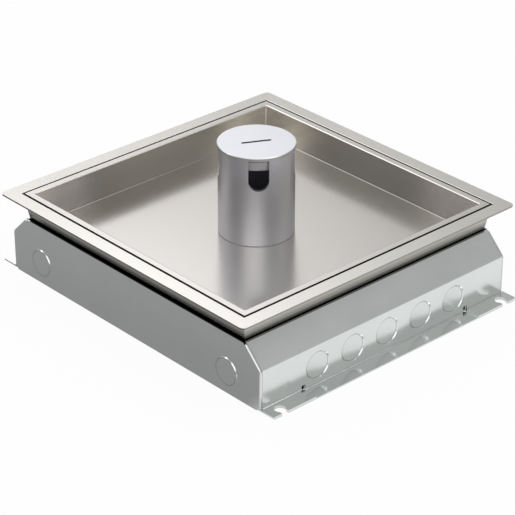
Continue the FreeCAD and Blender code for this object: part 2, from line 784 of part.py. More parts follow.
def socket(name, side, place):
    """One power socket: a bezel, a housing behind it, a round dish and two pin holes."""
    body = new_body(name)
    middle = f"(socket_width * {place})"
    low = "(box_sheet + carrier_border)"
    level = f"({low} + {SOCKET_HEIGHT} / 2)"

    def plane(text):
        return f"{side} * ({text})"

    def forward(start, length):
        return plane(start) if side > 0 else plane(f"{start} + {length}")

    housing = new_sketch(body, "YZ_Plane", name + "_housing", forward(CARRIER_FACE, "socket_depth"))
    rectangle(housing, f"{middle} - socket_width / 2 + socket_play",
              f"{middle} + socket_width / 2 - socket_play",
              f"{low} + socket_play", f"{low} + {SOCKET_HEIGHT} - socket_play")
    pad(body, housing, "socket_depth")
    front = f"{CARRIER_FACE} - socket_bezel"
    bezel = new_sketch(body, "YZ_Plane", name + "_bezel", forward(front, "socket_bezel"))
    rectangle(bezel, f"{middle} - (socket_width - socket_play) / 2",
              f"{middle} + (socket_width - socket_play) / 2",
              f"{low} - bezel_lap", f"{low} + {SOCKET_HEIGHT} + bezel_lap")
    pad(body, bezel, "socket_bezel")
    dish = new_sketch(body, "YZ_Plane", name + "_dish", forward(front, "dish_depth"))
    circle(dish, middle, level, f"{SOCKET_HEIGHT} / 2 - dish_margin")
    pocket(body, dish, "dish_depth", up=True)
    pins = new_sketch(body, "YZ_Plane", name + "_pins", forward(front, "dish_depth + pin_depth"))
    for s in (-1, 1):
        circle(pins, f"{middle} + {s} * pin_spacing / 2", level, "pin_hole / 2")
    pocket(body, pins, "dish_depth + pin_depth", up=True)
    return keep(body, name)


# Levelling gear

def levelling_screws():
    """Four grub screws with swivel pads that stand on the base and carry the frame."""
    top = f"({TRAY_UNDER} - screw_end_gap)"
    for name, sx, sy in CORNERS:
        across = f"{sx} * {SCREW_AT}"
        behind = f"{sy} * {SCREW_AT}"
        foot = cylinder(f"screw_pad_{name}", "screw_pad / 2", "pad_thickness",
                        (across, behind, "box_sheet"))
        shank = cylinder(f"screw_shank_{name}", "screw_diameter / 2", f"{top} - box_sheet",
                         (across, behind, "box_sheet"))
        reach = "(screw_diameter / 2 + overcut)"
        blade = block(f"screw_blade_{name}", (f"{reach} * 2", "screw_slot", "screw_slot_depth + overcut"),
                      (f"{across} - {reach}", f"{behind} - screw_slot / 2", f"{top} - screw_slot_depth"))
        whole = fuse(f"screw_blank_{name}", [foot, shank])
        keep(cut(f"screw_{name}", whole, blade), f"levelling_screw_{name}")


def corner_bracket(name, sx, sy):
    """Angle bracket welded inside a corner of the frame, with a hole for the levelling screw."""
    body = new_body(f"corner_bracket_{name}")
    out = f"({GUIDE} - frame_sheet)"
    back = f"({out} - bracket_size)"
    nip = f"({out} - bracket_nip)"
    shelf = new_sketch(body, "XY_Plane", f"shelf_{name}", f"{SKIRT_END} - bracket_drop")
    outline = [(out, out), (back, out), (back, nip), (nip, back), (out, back)]
    polygon(shelf, [(f"{sx} * {a}", f"{sy} * {b}") for a, b in outline])
    pad(body, shelf, "bracket_sheet")
    legs = new_sketch(body, "XY_Plane", f"legs_{name}", f"{SKIRT_END} - bracket_drop")
    inner = f"({out} - bracket_sheet)"
    outline = [(out, out), (back, out), (back, inner), (inner, inner), (inner, back), (out, back)]
    polygon(legs, [(f"{sx} * {a}", f"{sy} * {b}") for a, b in outline])
    pad(body, legs, "bracket_drop + guide_height - bracket_setback")
    hole = new_sketch(body, "XY_Plane", f"hole_{name}", f"{SKIRT_END} - bracket_drop - overcut")
    circle(hole, f"{sx} * {SCREW_AT}", f"{sy} * {SCREW_AT}", "screw_diameter / 2 + thread_play")
    pocket(body, hole, "bracket_sheet + overcut * 2", up=True)
    return keep(body, f"corner_bracket_{name}")


def levelling_nuts():
    """Four nuts welded under the brackets; the levelling screws run in them."""
    low = f"({SKIRT_END} - bracket_drop - nut_height)"
    nut = hexagon("nut_hex", "nut_height", (SCREW_AT, SCREW_AT, low))
    hole = cylinder("nut_hole", "screw_diameter / 2 + thread_play", "nut_height + overcut * 2",
                    (SCREW_AT, SCREW_AT, f"{low} - overcut"))
    keep(four_ways("levelling_nut_set", cut("nut_one", nut, hole)), "levelling_nuts")


# Frame

def frame():
    """Flange, rebate for the tray, tapered skirt and a straight guide band, welded as one."""
    body = new_body("frame")
    plate = new_sketch(body, "XY_Plane", "flange", f"{TOP} - frame_sheet")
    square(plate, "(frame_outer / 2)")
    square(plate, OPENING)
    flange = pad(body, plate, "frame_sheet")
    half = number("frame_outer / 2")
    corners = edges_at(flange, "z", x=[-half, half], y=[-half, half])
    rounded = fillet(body, flange, corners, "flange_corner")
    doc.recompute()
    inner = number(OPENING)
    top = number(TOP)
    rims = edges_at(rounded, "x", y=[-inner, inner], z=[top])
    rims += edges_at(rounded, "y", x=[-inner, inner], z=[top])
    fillet(body, rounded, rims, "flange_edge")
    rebate = new_sketch(body, "XY_Plane", "rebate", f"{LEDGE} - frame_sheet")
    square(rebate, f"({OPENING} + frame_sheet)")
    square(rebate, OPENING)
    pad(body, rebate, "rebate_depth + frame_sheet / 2")
    ledge = new_sketch(body, "XY_Plane", "ledge", f"{LEDGE} - frame_sheet")
    square(ledge, f"({OPENING} + frame_sheet)")
    square(ledge, f"({OPENING} - ledge_width)")
    pad(body, ledge, "frame_sheet")
    lean = "atan(skirt_taper / taper_height)"
    skirt = new_sketch(body, "XY_Plane", "skirt", LEDGE)
    square(skirt, SKIRT_TOP)
    pad(body, skirt, "taper_height", down=True, taper=f"-{lean}")
    band = new_sketch(body, "XY_Plane", "band", GUIDE_TOP)
    square(band, GUIDE)
    pad(body, band, "guide_height", down=True)
    throat = new_sketch(body, "XY_Plane", "throat", LEDGE)
    square(throat, f"({SKIRT_TOP} - frame_sheet)")
    pocket(body, throat, "taper_height", taper=f"-{lean}")
    well = new_sketch(body, "XY_Plane", "well", SKIRT_END)
    square(well, f"({GUIDE} - frame_sheet)")
    pocket(body, well, "guide_height + frame_sheet / 4", up=True)
    return keep(body, "frame")


def frame_seal():
    """Rubber strip under the tray's rim, with a lip up the rebate beside the rim."""
    body = new_body("frame_seal")
    strip = new_sketch(body, "XY_Plane", "seal_strip", LEDGE)
    square(strip, f"({OPENING} - seal_play)")
    square(strip, f"({OPENING} - ledge_width + seal_play)")
    pad(body, strip, "seal_thickness")
    lip = new_sketch(body, "XY_Plane", "seal_lip", LEDGE)
    square(lip, f"({OPENING} - seal_play)")
    square(lip, f"({OPENING} - seal_play - seal_lip)")
    pad(body, lip, "rebate_depth - seal_drop")
    return keep(body, "frame_seal")


# Tray

def tray():
    """Pressed tray: a rim folded over the seal, slightly tapered walls and a floor with a hole."""
    body = new_body("tray")
    outer = new_sketch(body, "XY_Plane", "tray_block", TOP)
    square(outer, f"({TRAY_INSIDE} + tray_sheet)")
    pad(body, outer, "recess_depth + tray_sheet", down=True, taper="-tray_draft")
    inner = new_sketch(body, "XY_Plane", "tray_recess", TOP)
    square(inner, TRAY_INSIDE)
    recess = pocket(body, inner, "recess_depth", taper="-tray_draft")
    doc.recompute()
    low = number(TRAY_FLOOR)
    bottom = []
    for i, edge in enumerate(recess.Shape.Edges, 1):
        box = edge.BoundBox
        level = abs(box.ZMin - low) < NEAR and abs(box.ZMax - low) < NEAR
        upright = box.ZMin < low + NEAR and box.ZMax > number(TOP) - NEAR
        inside = max(abs(box.XMin), abs(box.YMin)) < number(TRAY_INSIDE) + NEAR
        if inside and (level or upright and box.ZMin > low - NEAR):
            bottom.append(f"Edge{i}")
    fillet(body, recess, bottom, "tray_bend")
    rim = new_sketch(body, "XY_Plane", "tray_rim", f"{TOP} - tray_sheet")
    square(rim, TRAY)
    square(rim, f"({TRAY_INSIDE} + tray_sheet / 2)")
    pad(body, rim, "tray_sheet")
    fold = new_sketch(body, "XY_Plane", "tray_fold", f"{LEDGE} + seal_thickness")
    square(fold, TRAY)
    square(fold, f"({TRAY} - tray_sheet)")
    folded = pad(body, fold, "rebate_depth - seal_thickness - tray_sheet / 2")
    doc.recompute()
    high = number(TOP) - NEAR
    near = number(TRAY_INSIDE) + NEAR
    edges = []
    for i, edge in enumerate(folded.Shape.Edges, 1):
        box = edge.BoundBox
        reach = max(abs(box.XMin), abs(box.XMax), abs(box.YMin), abs(box.YMax))
        if box.ZMin > high and reach < near:
            edges.append(f"Edge{i}")
    fillet(body, folded, edges, "tray_edge")
    hole = new_sketch(body, "XY_Plane", "tray_hole", TRAY_UNDER)
    circle(hole, "0", "0", f"({NECK} + neck_play)")
    pocket(body, hole, "tray_sheet + overcut", up=True)
    return keep(body, "tray")


# Tube

def tube():
    """Round tube with four U-shaped windows open at its rim and a bayonet track for the lid."""
    foot = f"({TRAY_FLOOR} + gasket_thickness)"
    low = f"({TRAY_UNDER} - ring_height - neck_end)"
    body = revolved("tube_body", [
        (BORE, low), (NECK, low), (NECK, foot), ("tube_diameter / 2", foot),
        ("tube_diameter / 2", TUBE_TOP), (BORE, TUBE_TOP),
    ])
    sill = f"({TUBE_TOP} - window_depth + window_width / 2)"
    for i in (0, 1):
        opening = new_sketch(body, "XZ_Plane", f"window_{i}")
        swing(opening, f"window_turn + {90 * i}")
        rectangle(opening, "-window_width / 2", "window_width / 2", sill, f"{TUBE_TOP} + overcut")
        pocket(body, opening)
        arch = new_sketch(body, "XZ_Plane", f"window_arch_{i}")
        swing(arch, f"window_turn + {90 * i}")
        circle(arch, "0", sill, "window_width / 2")
        pocket(body, arch)
    tools = []
    track = f"({TUBE_TOP} - sleeve_height - lug_play)"
    depth = f"({SLEEVE} + lug_reach + lug_play)"
    entry = "(lug_angle + entry_margin)"
    for i in range(4):
        mark = f"(window_turn + 45 + lid_turn / 2 + {90 * i})"
        tools.append(cylinder(f"lug_entry_{i}", depth, f"{TUBE_TOP} - {track} + overcut",
                              ("0", "0", track), entry, mark))
        tools.append(cylinder(f"lug_track_{i}", depth, "lug_height + lug_play * 2",
                              ("0", "0", track), f"({entry} + lid_turn)", f"({mark} - lid_turn / 2)"))
    keep(cut("tube_cut", body, fuse("tube_tools", tools)), "tube")


def tube_fixings():
    """Gasket under the tube's shoulder and the ring nut that clamps the tube from below."""
    disc = cylinder("gasket_disc", "tube_diameter / 2 - gasket_inset", "gasket_thickness",
                    ("0", "0", TRAY_FLOOR))
    hole = cylinder("gasket_hole", NECK, "gasket_thickness + overcut * 2",
                    ("0", "0", f"{TRAY_FLOOR} - overcut"))
    keep(cut("gasket_ring", disc, hole), "tube_gasket")
    low = f"({TRAY_UNDER} - ring_height)"
    blank = cylinder("ring_blank", f"{NECK} + ring_width", "ring_height", ("0", "0", low))
    tools = [cylinder("ring_hole", NECK, "ring_height + overcut * 2", ("0", "0", f"{low} - overcut"))]
    for i in range(4):
        mark = f"({90 * i} + 45)"
        reach = f"({NECK} + ring_width - notch_depth)"
        tools.append(block(f"ring_notch_{i}", ("ring_notch", "ring_notch", "ring_height / 2 + overcut"),
                           (f"{reach} * cos({mark}) + ring_notch / 2 * sin({mark})",
                            f"{reach} * sin({mark}) - ring_notch / 2 * cos({mark})",
                            f"{low} - overcut"), mark))
    keep(cut("ring_cut", blank, fuse("ring_tools", tools)), "tube_ring_nut")


# Lid

def lid_plate():
    """Round cover with a coin slot, screwed to the sleeve from below."""
    body = new_body("lid_plate")
    disc = new_sketch(body, "XY_Plane", "lid_disc", TUBE_TOP)
    circle(disc, "0", "0", "tube_diameter / 2 + lid_overhang")
    blank = pad(body, disc, "lid_thickness")
    doc.recompute()
    top = number(f"{TUBE_TOP} + lid_thickness")
    names = [f"Edge{i}" for i, e in enumerate(blank.Shape.Edges, 1) if abs(e.BoundBox.ZMin - top) < NEAR]
    rim = body.newObject("PartDesign::Chamfer", "lid_rim")
    rim.Base = (blank, names)
    bind(rim, "Size", "lid_chamfer")
    slot = new_sketch(body, "XY_Plane", "coin_slot", f"{TUBE_TOP} + lid_thickness")
    bind(slot, ".AttachmentOffset.Rotation.Angle", "coin_slot_turn")
    reach = "(coin_slot_length / 2 - coin_slot_width / 2)"
    edge = "(coin_slot_width / 2)"
    rectangle(slot, f"-{reach}", reach, f"-{edge}", edge)
    pocket(body, slot, "coin_slot_depth")
    ends = new_sketch(body, "XY_Plane", "coin_slot_ends", f"{TUBE_TOP} + lid_thickness")
    bind(ends, ".AttachmentOffset.Rotation.Angle", "coin_slot_turn")
    circle(ends, f"-{reach}", "0", edge)
    circle(ends, reach, "0", edge)
    pocket(body, ends, "coin_slot_depth")
    bores = new_sketch(body, "XY_Plane", "lid_screw_bores", TUBE_TOP)
    for i in range(3):
        mark = f"({120 * i} + 90)"
        radius = f"({SLEEVE} - sleeve_wall - web_width / 2)"
        circle(bores, f"{radius} * cos({mark})", f"{radius} * sin({mark})", "lid_screw / 2")
    pocket(body, bores, "lid_thickness / 2", up=True)
    return keep(body, "lid_plate")


def lid_sleeve():
    """Ring under the cover with a groove for the sealing ring, a web and four bayonet lugs."""
    low = f"({TUBE_TOP} - sleeve_height)"
    wall = cylinder("sleeve_outside", SLEEVE, "sleeve_height", ("0", "0", low))
    shapes = [wall]
    for i in range(4):
        mark = f"(window_turn + 45 + lid_turn / 2 + {90 * i})"
        shapes.append(cylinder(f"sleeve_lug_{i}", f"{SLEEVE} + lug_reach", "lug_height",
                               ("0", "0", low), "lug_angle", mark))
    blank = fuse("sleeve_blank", shapes)
    bore = f"({SLEEVE} - sleeve_wall)"
    inside = cylinder("sleeve_inside", bore, "sleeve_height - sleeve_web + overcut",
                      ("0", "0", f"{low} - overcut"))
    eye = cylinder("sleeve_eye", f"{bore} - web_width", "sleeve_height + overcut * 2",
                   ("0", "0", f"{low} - overcut"))
    section = "(ring_section + ring_play * 2)"
    groove_out = cylinder("groove_outside", f"{SLEEVE} + overcut", section, ("0", "0", GROOVE))
    groove_in = cylinder("groove_inside", f"{BORE} - ring_gap - {section}", f"{section} + overcut * 2",
                         ("0", "0", f"{GROOVE} - overcut"))
    tools = [inside, eye, cut("sleeve_groove", groove_out, groove_in)]
    for i in range(3):
        mark = f"({120 * i} + 90)"
        radius = f"({bore} - web_width / 2)"
        tools.append(cylinder(f"sleeve_bore_{i}", "lid_screw / 2 + ring_gap", "sleeve_height + overcut * 2",
                              (f"{radius} * cos({mark})", f"{radius} * sin({mark})", f"{low} - overcut")))
    keep(cut("sleeve_cut", blank, fuse("sleeve_tools", tools)), "lid_sleeve")


def lid_seal():
    """Square rubber ring in the sleeve's groove, against the bore of the tube."""
    low = f"({GROOVE} + ring_play)"
    outer = f"({BORE} - ring_gap)"
    disc = cylinder("seal_outside", outer, "ring_section", ("0", "0", low))
    hole = cylinder("seal_inside", f"{outer} - ring_section", "ring_section + overcut * 2",
                    ("0", "0", f"{low} - overcut"))
    keep(cut("seal_ring", disc, hole), "lid_seal")


def lid_screws():
    """Three screws that hold the sleeve to the cover, heads below the web."""
    shapes = []
    for i in range(3):
        mark = f"({120 * i} + 90)"
        radius = f"({SLEEVE} - sleeve_wall - web_width / 2)"
        across = f"{radius} * cos({mark})"
        behind = f"{radius} * sin({mark})"
        under = f"({TUBE_TOP} - sleeve_web)"
        shank = cylinder(f"lid_screw_shank_{i}", "lid_screw / 2", "sleeve_web + lid_thickness / 2",
                         (across, behind, under))
        head = cylinder(f"lid_screw_head_{i}", "lid_screw", f"lid_screw * {HEAD_SHARE}",
                        (across, behind, f"{under} - lid_screw * {HEAD_SHARE}"))
        shapes.append(fuse(f"lid_screw_{i}", [shank, head]))
    keep(group("lid_screw_group", shapes), "lid_screws")


CORNERS = [("front_left", -1, -1), ("front_right", 1, -1), ("rear_left", -1, 1), ("rear_right", 1, 1)]

base_plate()
side_wall("side_wall_front", -1)
side_wall("side_wall_rear", 1)
end_plate("end_plate_left", -1)
end_plate("end_plate_right", 1)
earth_terminal()
tie_bar("tie_bar_front", -1)
tie_bar("tie_bar_rear", 1)
for hand, toward in (("left", -1), ("right", 1)):
    socket_carrier(f"socket_carrier_{hand}", toward)
    for number_along, along in (("front", -1), ("middle", 0), ("rear", 1)):
        socket(f"socket_{hand}_{number_along}", toward, along)
carrier_screws()
levelling_screws()
for corner, toward_x, toward_y in CORNERS:
    corner_bracket(corner, toward_x, toward_y)
levelling_nuts()
frame()
frame_seal()
tray()
tube()
tube_fixings()
lid_plate()
lid_sleeve()
lid_seal()
lid_screws()

doc.recompute()
for thing in doc.Objects:
    if "Invalid" in thing.State or "Error" in thing.State:
        raise RuntimeError(f"{thing.Name} failed: {thing.State}")
os.makedirs("parts", exist_ok=True)
for piece in parts:
    shape = piece.Shape
    if shape.isNull() or not shape.isValid():
        raise RuntimeError(f"{piece.Label} has no valid shape")
    shape.exportStep(f"parts/{piece.Label}.step")
    box = shape.BoundBox
    print(f"{piece.Label}: {len(shape.Solids)} solid, {shape.Volume / 1000:.2f} cm3, "
          f"x {box.XMin:.1f} {box.XMax:.1f}, y {box.YMin:.1f} {box.YMax:.1f}, "
          f"z {box.ZMin:.1f} {box.ZMax:.1f}")
print(len(parts), "sub-parts")
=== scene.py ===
# %% [markdown]
# A floor socket box, dressed for its picture
#
# The box is a folded steel housing that is screwed to the raw floor. A square frame stands on
# four levelling screws above it, and a tray for the floor covering lies in the frame. A round
# tube with a coin-turned lid rises from the tray and lets the leads out.
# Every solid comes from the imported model, already in its place and in metres. This script adds
# the camera, the light, the finishes, and the threads that are too fine for a solid.

import math
from collections import namedtuple

import bpy
import numpy as np
from mathutils import Matrix, Vector


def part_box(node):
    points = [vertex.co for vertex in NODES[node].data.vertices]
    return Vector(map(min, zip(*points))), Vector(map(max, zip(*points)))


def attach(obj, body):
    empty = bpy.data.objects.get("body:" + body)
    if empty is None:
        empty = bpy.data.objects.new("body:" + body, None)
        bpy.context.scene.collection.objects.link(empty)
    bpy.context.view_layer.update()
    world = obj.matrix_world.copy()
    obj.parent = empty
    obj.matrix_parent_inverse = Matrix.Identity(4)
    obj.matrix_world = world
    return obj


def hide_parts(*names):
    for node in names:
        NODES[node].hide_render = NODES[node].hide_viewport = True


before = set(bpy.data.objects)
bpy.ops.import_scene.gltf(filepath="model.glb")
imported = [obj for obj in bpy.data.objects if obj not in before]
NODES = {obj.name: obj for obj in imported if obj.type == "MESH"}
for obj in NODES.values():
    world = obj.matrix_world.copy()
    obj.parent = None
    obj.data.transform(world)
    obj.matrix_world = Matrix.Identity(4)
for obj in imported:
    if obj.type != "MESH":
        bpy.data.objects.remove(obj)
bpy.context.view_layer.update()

# %% [markdown]
# The photograph's camera stands about 1.85 m away, to the left of the front and a little above.
# Its place was worked out from the corners of the square frame, so it is written as two angles,
# a distance and a small sideways step, all measured from the middle of the frame's top face.

# %% The photograph's camera
FRAME_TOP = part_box("frame")[1][2]
VIEW_TURN = math.radians(-42.404)
VIEW_RISE = math.radians(28.725)
VIEW_ROLL = math.radians(0.118)
VIEW_DISTANCE = 1.84804
VIEW_STEP = (0.00092, -0.04845)
SENSOR = 36.0
FOCAL_LENGTH = 156.88


def photograph_camera():
    """The camera looks along a line given by its turn about Z and its rise above the floor."""
    back = Vector((math.sin(VIEW_TURN) * math.cos(VIEW_RISE),
                   -math.cos(VIEW_TURN) * math.cos(VIEW_RISE), math.sin(VIEW_RISE)))
    level = Vector((math.cos(VIEW_TURN), math.sin(VIEW_TURN), 0.0))
    upright = back.cross(level)
    right = level * math.cos(VIEW_ROLL) + upright * math.sin(VIEW_ROLL)
    up = upright * math.cos(VIEW_ROLL) - level * math.sin(VIEW_ROLL)
    place = (Vector((0.0, 0.0, FRAME_TOP)) + back * VIEW_DISTANCE
             + right * VIEW_STEP[0] + up * VIEW_STEP[1])
    data = bpy.data.cameras.new("photograph_camera")
    data.sensor_width = SENSOR
    data.lens = FOCAL_LENGTH
    camera = bpy.data.objects.new("photograph_camera", data)
    bpy.context.scene.collection.objects.link(camera)
    turn = Matrix((right, up, back)).transposed()
    camera.matrix_world = Matrix.Translation(place) @ turn.to_4x4()
    return camera


bpy.context.scene.camera = photograph_camera()
bpy.context.scene.view_settings.view_transform = "Standard"
print("camera at", [round(v, 3) for v in bpy.context.scene.camera.matrix_world.translation])

# %% [markdown]
# A finish is a small network of nodes, and its formulas would be hard to read as nodes and
# links. Wire lets an output take part in ordinary sums instead, so that 1 - grain adds a Math
# node by itself.


# %% Wires
class Wire:
    """An output socket that can be added, subtracted, multiplied and limited."""

    def __init__(self, finish, socket):
        self.finish = finish
        self.socket = socket

    def _maths(self, operation, first, second):
        return self.finish.node("ShaderNodeMath", {"operation": operation}, {0: first, 1: second})

    def __add__(self, other):
        return self._maths("ADD", self, other)

    def __sub__(self, other):
        return self._maths("SUBTRACT", self, other)

    def __rsub__(self, other):
        return self._maths("SUBTRACT", other, self)

    def __mul__(self, other):
        return self._maths("MULTIPLY", self, other)

    def __rmul__(self, other):
        return self._maths("MULTIPLY", other, self)

    def at_least(self, floor):
        return self._maths("MAXIMUM", self, floor)

    def at_most(self, ceiling):
        return self._maths("MINIMUM", self, ceiling)


# %% [markdown]
# Finish adds any other node from its type, its settings and its inputs, and has a method for
# each thing that the finishes below need often: the point on the object, the facing of its
# surface, noise, soft steps, blends of colours, and a small relief.


# %% Finishes
X_AXIS = (1.0, 0.0, 0.0)
Y_AXIS = (0.0, 1.0, 0.0)
Z_AXIS = (0.0, 0.0, 1.0)


def colour(red, green, blue):
    return (red, green, blue, 1.0)


BLACK = colour(0.0, 0.0, 0.0)
WHITE = colour(1.0, 1.0, 1.0)


def shade(base, gain):
    """The base colour times a gain, with no channel above 1."""
    return colour(*[min(1.0, channel * gain) for channel in base])


class Finish:
    """A material under construction, with fixed values on its shader's own sockets."""

    def __init__(self, name, **fixed):
        self.material = bpy.data.materials.new(name)
        self.material.use_nodes = True
        self.tree = self.material.node_tree
        self.shader = self.tree.nodes["Principled BSDF"]
        self.feed(**fixed)

    def feed(self, **values):
        """Sets or links the shader's sockets, with Base_Color standing for Base Color."""
        for name, value in values.items():
            self.put(self.shader.inputs[name.replace("_", " ")], value)

    def put(self, socket, value):
        """Links a wire to an input, or sets the input to a fixed value."""
        if isinstance(value, Wire):
            self.tree.links.new(value.socket, socket)
        else:
            socket.default_value = value

    def node(self, kind, settings=None, inputs=None, out=0):
        """Adds a node of that type, sets it up, then fills its inputs, and returns one output."""
        made = self.tree.nodes.new(kind)
        for name, value in (settings or {}).items():
            setattr(made, name, value)
        for name, value in (inputs or {}).items():
            self.put(made.inputs[name], value)
        return Wire(self, made.outputs[out])

    def place(self, stretch=(1, 1, 1)):
        """The point on the object in metres, stretched to a pattern's own size."""
        point = self.node("ShaderNodeTexCoord", out="Object")
        return self.node("ShaderNodeMapping", inputs={"Vector": point, "Scale": stretch})

    def along(self, vector, direction):
        """How far a vector reaches along a direction."""
        return self.node("ShaderNodeVectorMath", {"operation": "DOT_PRODUCT"},
                         {0: vector, 1: direction}, out="Value")

    def coordinates(self):
        """The three coordinates of the point on the object, in metres."""
        return [self.along(self.place(), axis) for axis in (X_AXIS, Y_AXIS, Z_AXIS)]

    def facing(self, direction):
        """How far the surface faces a direction: 1 when it faces it squarely."""
        return self.along(self.node("ShaderNodeTexCoord", out="Normal"), direction)

    def noise(self, where, scale, detail, roughness=0.5):
        """Soft noise from 0 to 1, with scale cells to the metre and detail finer layers."""
        return self.node("ShaderNodeTexNoise", out="Fac",
                         inputs={"Vector": where, "Scale": scale, "Detail": detail,
                                 "Roughness": roughness})

    def blend(self, share, first, second):
        """A colour that goes from first to second as share goes from 0 to 1."""
        return self.node("ShaderNodeMix", {"data_type": "RGBA"},
                         {"Factor": share, "A": first, "B": second}, out="Result")

    def step(self, value, low, high):
        """A soft step that goes from 0 at low to 1 at high."""
        return self.node("ShaderNodeMapRange", {"interpolation_type": "SMOOTHSTEP"},
                         {"Value": value, "From Min": low, "From Max": high})

    def band(self, value, rise, fall):
        """A soft band: a step up between the two values of rise, and down between those of fall."""
        return self.step(value, *rise) * (1.0 - self.step(value, *fall))

    def relief(self, height, depth):
        """A small relief of the surface, for the shader's Normal."""
        return self.node("ShaderNodeBump", inputs={"Height": height, "Distance": depth})


def paint(finish, *names):
    """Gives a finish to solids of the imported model, in all their material slots."""
    for name in names:
        mesh = NODES[name].data
        mesh.materials.clear()
        mesh.materials.append(finish.material)
    print(finish.material.name, "on", ", ".join(names))


# %% [markdown]
# The picture has no room in it, only white. The floor is a pale sheet that keeps the object's
# soft shadow, and where the camera looks at it directly most of it is plain white. A painted
# sheet would be enough for that. But metal shows nothing but its surroundings, so the floor has
# two tones for reflections: pale before the long front wall and to the right, and a painted
# shade, dark, beside the near end plate and behind.

# %% Floor
FLOOR_HALF = 4.0
FLOOR_DROP = 0.0004
FLOOR_TONE = colour(0.82, 0.82, 0.82)
PALE_TONE = colour(1.04, 1.04, 1.04)
# Painted shade: the floor's glow that reflections see is this dark tone beside the near end plate
# and behind.
REFLECTED_SHADE_TONE = colour(0.325, 0.318, 0.322)
FRONT_LINE = (0.13, 0.18)
LEFT_LINE = (-0.24, -0.14)
RIGHT_LINE = (0.10, 0.30)
SHOWN_TO_CAMERA = 0.95
SHOWN_TO_METAL = 0.85


def light_path(owner, *kinds):
    """1 for the kinds of ray named, and 0 for the others."""
    wires = [owner.node("ShaderNodeLightPath", out=kind) for kind in kinds]
    return sum(wires[1:], wires[0])


def floor_finish():
    """Plain white with a share of glow: white for the camera, two tones for reflections, the dark
    one a painted shade.

    Each line is a pair of distances from the object's middle, between which the tone changes.
    """
    look = Finish("floor_white", Base_Color=FLOOR_TONE, Roughness=0.9)
    camera_ray = light_path(look, "Is Camera Ray")
    across = look.along(look.place(), X_AXIS)
    forward = look.along(look.place(), (0.0, -1.0, 0.0))
    before = look.step(forward, *FRONT_LINE) * look.step(across, *LEFT_LINE)
    pale = 1.0 - (1.0 - before) * (1.0 - look.step(across, *RIGHT_LINE))
    # Painted shade in reflections: the glow is dark where pale is 0.
    shown = look.blend(camera_ray, look.blend(pale, REFLECTED_SHADE_TONE, PALE_TONE), WHITE)
    glow = look.node("ShaderNodeEmission", inputs={"Color": shown, "Strength": 1.0},
                     out="Emission")
    mirrored = light_path(look, "Is Glossy Ray", "Is Transmission Ray")
    share = camera_ray * SHOWN_TO_CAMERA + mirrored * SHOWN_TO_METAL
    mixed = look.node("ShaderNodeMixShader",
                      inputs={0: share, 1: Wire(look, look.shader.outputs[0]), 2: glow})
    look.put(look.tree.nodes["Material Output"].inputs["Surface"], mixed)
    return look


def floor_sheet():
    """A flat square, two corners by two, with its middle under the object."""
    across, along = np.meshgrid([-FLOOR_HALF, FLOOR_HALF], [-FLOOR_HALF, FLOOR_HALF])
    points = np.stack([across, along, np.full_like(across, -FLOOR_DROP)], axis=-1).reshape(-1, 3)
    mesh = bpy.data.meshes.new("floor")
    mesh.from_pydata(points.tolist(), [], [(0, 1, 3, 2)])
    mesh.materials.append(floor_finish().material)
    sheet = bpy.data.objects.new("floor", mesh)
    bpy.context.scene.collection.objects.link(sheet)
    return sheet


print(floor_sheet().name, "of", 2.0 * FLOOR_HALF, "m")

# %% [markdown]
# The rest of the surroundings is painted on the world, which reflections see and the camera
# doesn't. A wide soft box stands low behind the object and fades out overhead, a round one
# stands behind the camera, and the rest of the room is a plain grey, a little paler on the
# right. Panels of glowing mesh could do the same, but their edges would be hard and their noise
# higher.

# %% World
ROOM = colour(0.47, 0.47, 0.48)
SOFT_BOX = colour(2.05, 2.06, 2.18)
FRONT_BOX = colour(1.48, 1.48, 1.50)
RIGHT_WALL = colour(0.72, 0.72, 0.72)
UPWARD = (0.08, 0.0, 1.0)
LOWER_EDGE = (0.47, 0.565)
UPPER_FADE = (0.66, 0.88)
OVERHEAD_LOSS = 0.75
RIGHT_EDGE = ((-0.731, 0.682, 0.0), -0.13, 0.12)
LEFT_EDGE = ((0.906, 0.423, 0.0), -0.40, -0.20)
BEHIND_CAMERA = ((-0.66, -0.55, 0.51), 0.83, 0.94)
TO_THE_RIGHT = ((0.618, -0.709, 0.340), 0.93, 0.985)


class Sky(Finish):
    """The world's own network, built with the same helpers."""

    def __init__(self):
        world = bpy.data.worlds.new("studio")
        bpy.context.scene.world = world
        world.use_nodes = True
        self.tree = world.node_tree
        self.background = self.tree.nodes["Background"]

    def toward(self, direction, low, high):
        """A soft step from 0 to 1 as the view turns towards a direction."""
        view = self.node("ShaderNodeTexCoord", out="Generated")
        return self.step(self.along(view, direction), low, high)


def studio():
    """A soft box bounded by one level edge and two upright ones, and two round patches."""
    sky = Sky()
    overhead = 1.0 - sky.toward(UPWARD, *UPPER_FADE) * OVERHEAD_LOSS
    above = sky.toward(UPWARD, *LOWER_EDGE) * overhead
    rear = sky.blend(above * sky.toward(*RIGHT_EDGE) * sky.toward(*LEFT_EDGE), ROOM, SOFT_BOX)
    front = sky.blend(sky.toward(*BEHIND_CAMERA), rear, FRONT_BOX)
    room = sky.blend(sky.toward(*TO_THE_RIGHT), front, RIGHT_WALL)
    sky.put(sky.background.inputs["Color"],
            sky.blend(light_path(sky, "Is Camera Ray"), room, WHITE))
    sky.put(sky.background.inputs["Strength"], 1.0)
    print("world with", len(sky.tree.nodes), "nodes")


studio()

# %% [markdown]
# One real lamp above the object shapes its soft shadow on the floor. The world alone would leave
# the shadow without a side.

# %% Lamp
LAMP_PLACE = (0.5, -0.6, 2.2)
LAMP_TARGET = (0.0, 0.0, 0.05)
LAMP_SIZE = 1.5
LAMP_POWER = 14.0


def lamp_above():
    """A square lamp that looks at a point."""
    data = bpy.data.lights.new("lamp_above", "AREA")
    data.size = LAMP_SIZE
    data.energy = LAMP_POWER
    lamp = bpy.data.objects.new("lamp_above", data)
    bpy.context.scene.collection.objects.link(lamp)
    line = Vector(LAMP_TARGET) - Vector(LAMP_PLACE)
    lamp.location = LAMP_PLACE
    lamp.rotation_euler = line.to_track_quat("-Z", "Y").to_euler()
    return lamp


